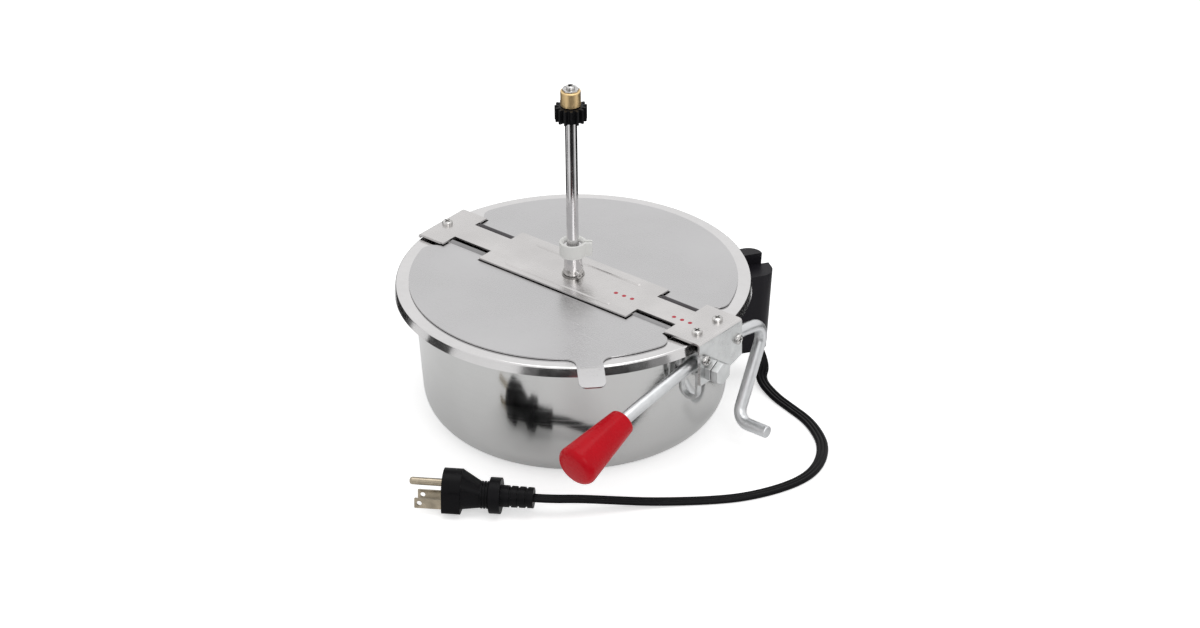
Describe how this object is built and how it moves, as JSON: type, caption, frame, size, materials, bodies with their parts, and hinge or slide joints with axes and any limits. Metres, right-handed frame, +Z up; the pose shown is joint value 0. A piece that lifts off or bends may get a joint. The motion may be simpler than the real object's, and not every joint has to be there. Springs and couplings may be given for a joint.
{
  "type": "popcorn maker kettle",
  "caption": "Stainless popcorn kettle with flap lids on a crossbar, geared stirrer shaft, bent rod with tapered grip, terminal housing and flat power cord.",
  "frame": {"origin": "middle of the base, on the surface it stands on", "axes": "+X along the crossbar towards the bracket and rod, +Z up, -Y towards the lid with the lift tab"},
  "size_m": [0.2885, 0.277, 0.227],
  "materials": {
    "polished_steel": "mirror-polished stainless steel",
    "satin_steel": "brushed satin stainless steel",
    "plated_screws": "bright nickel plating",
    "zinc_hardware": "dull zinc plating",
    "wire_steel": "drawn wire",
    "rod_aluminium": "matt",
    "grip_red": "glossy red",
    "shaft_steel": "turned",
    "gear_black": "black nylon",
    "brass": "turned",
    "collar_nylon": "white translucent nylon",
    "stirrer_aluminium": "satin",
    "base_steel": "mill finish",
    "element_sheath": "heat-darkened",
    "ceramic": "unglazed white",
    "fuse_metal": "satin",
    "housing_black": "black, slight sheen",
    "cord_black": "black vinyl, slight sheen",
    "contact_brass": "nickel-flashed",
    "lead_live": "black insulation",
    "lead_neutral": "white insulation",
    "lead_earth": "green insulation"
  },
  "bodies": {
    "kettle": {"kettle_shell": "polished_steel", "inner_pan": "polished_steel", "base_cover": "base_steel", "base_screws": "plated_screws", "heat_plate": "stirrer_aluminium", "heating_element": "element_sheath", "element_clamp": "stirrer_aluminium", "clamp_nuts": "plated_screws", "thermostat": "ceramic", "thermal_fuse": "fuse_metal", "crossbar": "satin_steel", "crossbar_screws": "plated_screws", "crossbar_spacers": "plated_screws", "rim_nuts": "plated_screws", "bracket_screws": "plated_screws", "front_hinge_wires": "wire_steel", "rear_hinge_wires": "wire_steel", "support_rod": "rod_aluminium", "handle_grip": "grip_red", "rod_clamp": "zinc_hardware", "clamp_bolt": "zinc_hardware", "clamp_nut": "zinc_hardware", "front_stay": "zinc_hardware", "shaft_bush": "plated_screws", "terminal_cover": "housing_black", "terminal_base": "base_steel", "housing_screws": "plated_screws", "terminal_block": "ceramic", "wire_grommet": "cord_black", "live_lead": "lead_live", "neutral_lead": "lead_neutral", "earth_lead": "lead_earth", "strain_relief": "cord_black", "power_cord": "cord_black", "plug_body": "cord_black", "plug_blades": "contact_brass", "ground_pin": "contact_brass"},
    "front_lid_body": {"front_lid": "satin_steel"},
    "rear_lid_body": {"rear_lid": "satin_steel"},
    "stirrer": {"drive_shaft": "shaft_steel", "drive_gear": "gear_black", "gear_pin": "shaft_steel", "stirrer_sleeve": "shaft_steel", "stop_ring": "plated_screws", "set_screw": "plated_screws", "collar_clip": "collar_nylon", "stirrer_shaft": "shaft_steel", "stirrer_hub": "stirrer_aluminium", "long_arm": "stirrer_aluminium", "short_arm": "stirrer_aluminium", "top_washer": "plated_screws", "top_screw": "plated_screws"},
    "top_bearing_body": {"top_bearing": "brass"}
  },
  "joints": [
    {"name": "front_lid_hinge", "type": "hinge", "parent": "kettle", "child": "front_lid_body", "pos_m": [0, -0.0137, 0.09165], "axis": [-1, 0, 0], "range_deg": [0, 85]},
    {"name": "rear_lid_hinge", "type": "hinge", "parent": "kettle", "child": "rear_lid_body", "pos_m": [0, 0.0137, 0.09165], "axis": [1, 0, 0], "range_deg": [0, 85]},
    {"name": "stirrer_spin", "type": "hinge", "parent": "kettle", "child": "stirrer", "pos_m": [0, 0, 0.0995], "axis": [0, 0, 1], "continuous": true},
    {"name": "top_bearing_spin", "type": "hinge", "parent": "stirrer", "child": "top_bearing_body", "pos_m": [0, 0, 0.2185], "axis": [0, 0, 1], "continuous": true}
  ]
}
